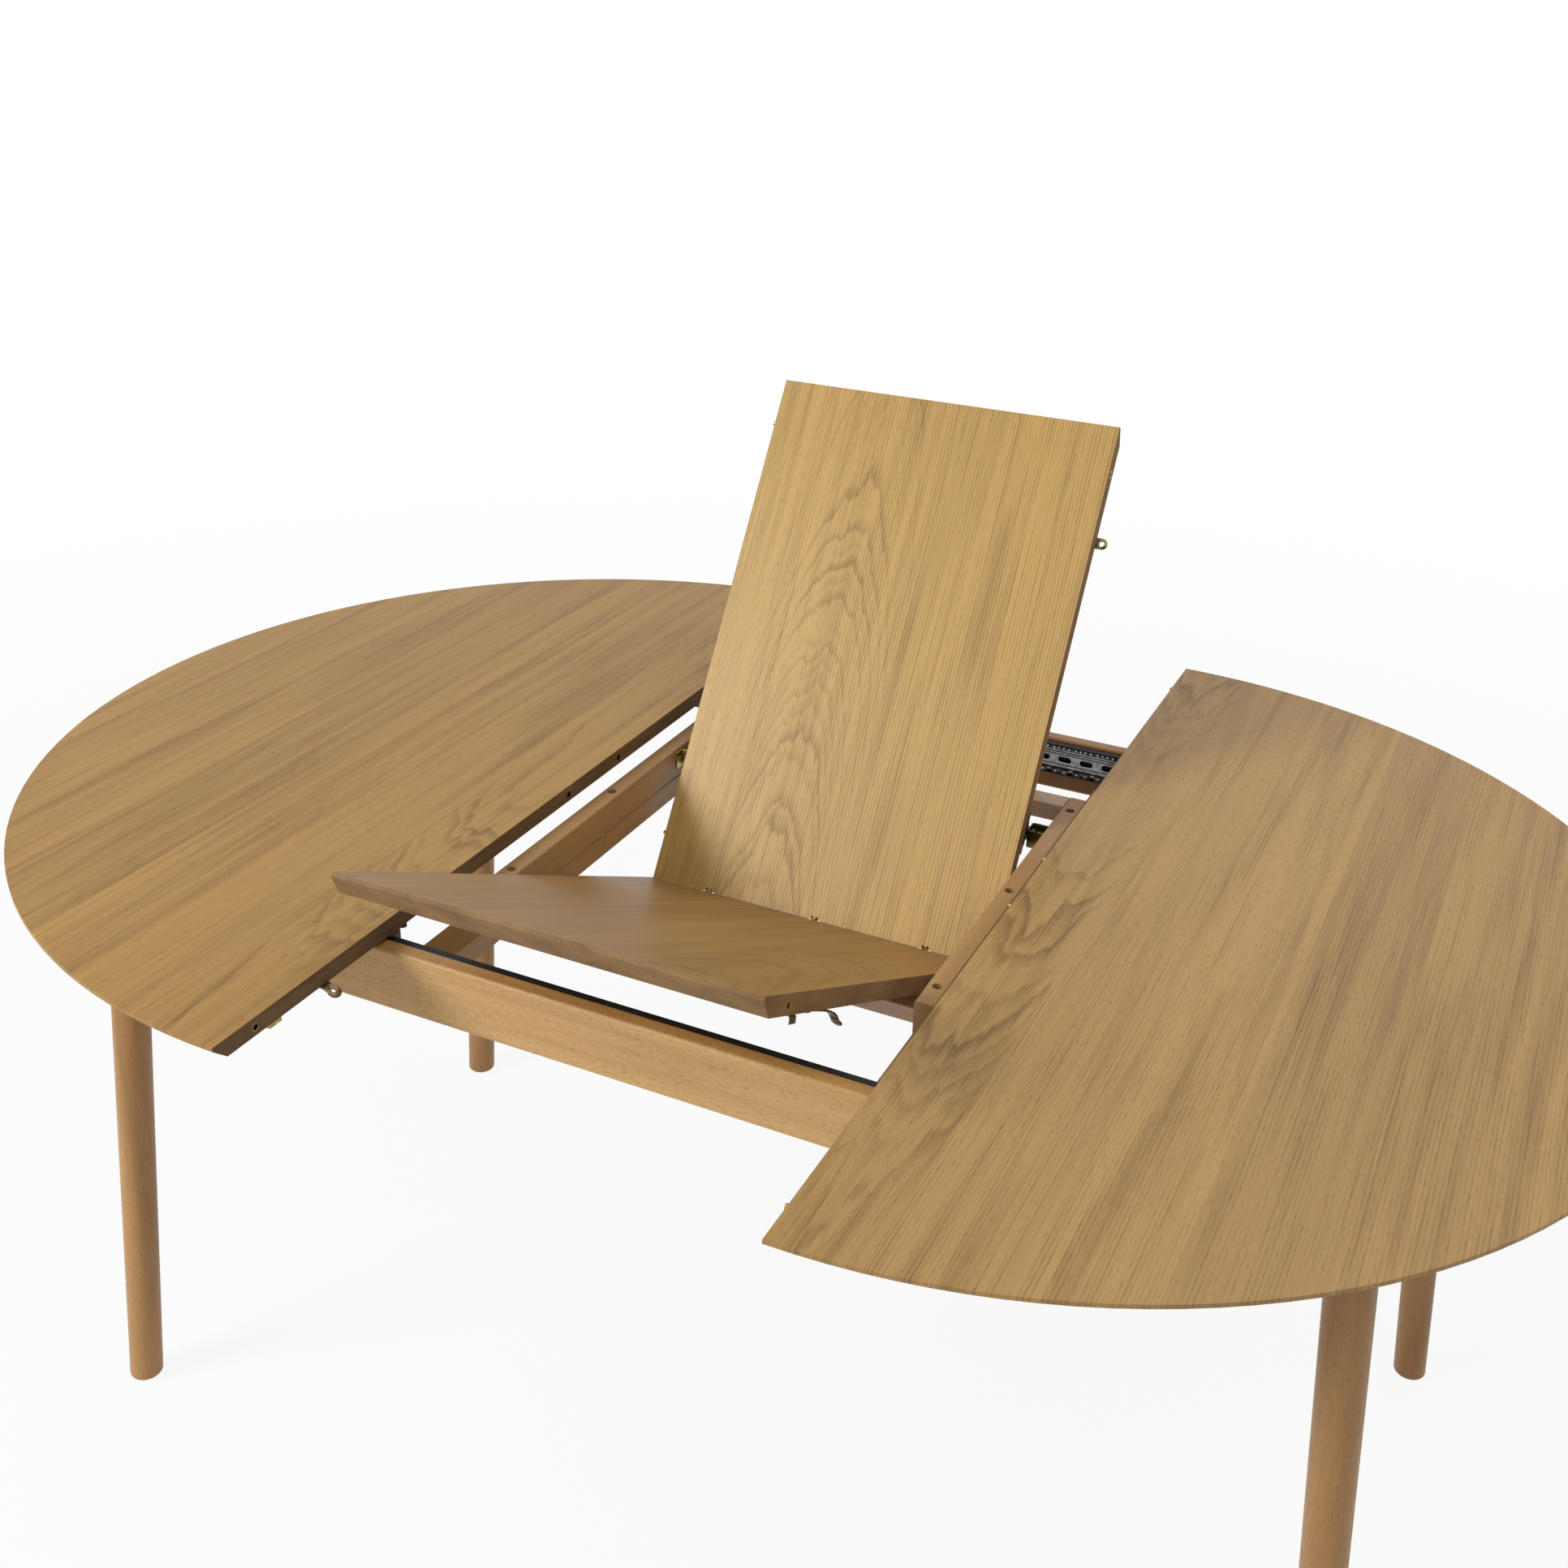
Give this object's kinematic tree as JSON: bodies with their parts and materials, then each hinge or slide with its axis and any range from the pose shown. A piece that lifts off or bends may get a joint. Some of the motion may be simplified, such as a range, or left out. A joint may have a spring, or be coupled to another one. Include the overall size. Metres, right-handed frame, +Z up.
{
  "type": "extending dining table",
  "caption": "Round pull-out dining table with two sliding half tops, a folding butterfly leaf on pivots, a centre frame and splayed round legs.",
  "frame": {"origin": "on the floor under the middle of the table, halfway between the two split edges and the two rails", "axes": "+X the way the right half pulls out, -Y the front, +Z up"},
  "size_m": [1.6988, 1.194, 1.1122],
  "materials": {
    "oak_veneer_top": "oak veneer, satin lacquer",
    "oak_veneer_leaf": "oak veneer, satin lacquer",
    "oak_legs": "turned hardwood, satin lacquer",
    "hardwood_rails": "rubberwood, satin lacquer",
    "hardwood_beams": "rubberwood, satin lacquer",
    "pale_wood_boards": "plain light wood, unfinished",
    "hardwood_under": "hardwood, satin lacquer",
    "black_steel": "black coated steel",
    "bright_steel": "bright zinc plated steel",
    "black_plastic": "black nylon",
    "brass": "plain brass",
    "yellow_zinc": "yellow zinc plated steel",
    "dark_steel": "dark plated steel",
    "zinc_screws": "zinc plated steel"
  },
  "bodies": {
    "frame": {"back_rail": "hardwood_rails", "back_slide_outer": "black_steel", "beam_screws": "zinc_screws", "bracket_screws": "zinc_screws", "far_cross_board": "pale_wood_boards", "front_rail": "hardwood_rails", "front_slide_outer": "black_steel", "left_cross_beam_lower": "hardwood_beams", "left_cross_beam_upper": "hardwood_beams", "left_pivot_bracket": "yellow_zinc", "near_support_slat": "pale_wood_boards", "pivot_pins": "dark_steel", "right_cross_beam_lower": "hardwood_beams", "right_cross_beam_upper": "hardwood_beams", "right_pivot_bracket": "yellow_zinc", "slat_screws": "zinc_screws"},
    "leaf_far": {"far_hinge_barrels": "brass", "far_leaf_dowels": "brass", "far_leaf_locks": "yellow_zinc", "hinge_pins": "bright_steel", "leaf_far_panel": "oak_veneer_leaf", "pivot_plates": "dark_steel"},
    "latch_lever": {"leaf_latch_lever": "yellow_zinc"},
    "leaf_near": {"leaf_near_panel": "oak_veneer_leaf", "near_hinge_barrels": "brass", "near_leaf_dowels": "brass", "near_leaf_locks": "yellow_zinc"},
    "left_half": {"left_back_leg": "oak_legs", "left_back_slide_inner": "bright_steel", "left_corner_blocks": "hardwood_under", "left_end_apron": "hardwood_under", "left_foot_glides": "black_plastic", "left_front_leg": "oak_legs", "left_front_slide_inner": "bright_steel", "left_leg_bolts": "zinc_screws", "left_lock_plates": "yellow_zinc", "left_runners": "hardwood_under", "left_slide_stops": "black_plastic", "left_sockets": "brass", "left_top": "oak_veneer_top"},
    "left_slide_middle": {"left_back_slide_middle": "bright_steel", "left_ball_retainers": "black_plastic", "left_front_slide_middle": "bright_steel"},
    "right_half": {"right_back_leg": "oak_legs", "right_back_slide_inner": "bright_steel", "right_corner_blocks": "hardwood_under", "right_end_apron": "hardwood_under", "right_foot_glides": "black_plastic", "right_front_leg": "oak_legs", "right_front_slide_inner": "bright_steel", "right_leg_bolts": "zinc_screws", "right_lock_plates": "yellow_zinc", "right_pins": "brass", "right_runners": "hardwood_under", "right_slide_stops": "black_plastic", "right_top": "oak_veneer_top"},
    "right_slide_middle": {"right_back_slide_middle": "bright_steel", "right_ball_retainers": "black_plastic", "right_front_slide_middle": "bright_steel"}
  },
  "joints": [
    {"name": "left_half_slide", "type": "slide", "parent": "frame", "child": "left_half", "axis": [1, 0, 0], "range_m": [0, 0.0505]},
    {"name": "left_middle_slide", "type": "slide", "parent": "frame", "child": "left_slide_middle", "axis": [1, 0, 0], "range_m": [-0.0005, 0.0258]},
    {"name": "right_half_slide", "type": "slide", "parent": "frame", "child": "right_half", "axis": [-1, 0, 0], "range_m": [0, 0.0505]},
    {"name": "right_middle_slide", "type": "slide", "parent": "frame", "child": "right_slide_middle", "axis": [-1, 0, 0], "range_m": [-0.0005, 0.0258]},
    {"name": "leaf_pivot", "type": "hinge", "parent": "frame", "child": "leaf_far", "pos_m": [0, 0.1485, 0.7138], "axis": [1, 0, 0], "range_deg": [-57.7, 63.5]},
    {"name": "leaf_fold", "type": "hinge", "parent": "leaf_far", "child": "leaf_near", "pos_m": [0, 0.0383, 0.60778], "axis": [1, 0, 0], "range_deg": [-94, 86]},
    {"name": "latch_swing", "type": "hinge", "parent": "leaf_near", "child": "latch_lever", "pos_m": [0.189, -0.39581, 0.80428], "axis": [0, -0.454, -0.891], "range_deg": [0, 90]}
  ],
  "couplings": [
    {"joint": "left_middle_slide", "follows": "left_half_slide", "ratio": 0.5},
    {"joint": "right_middle_slide", "follows": "right_half_slide", "ratio": 0.5},
    {"joint": "leaf_fold", "follows": "leaf_pivot", "ratio": -1.4679}
  ]
}
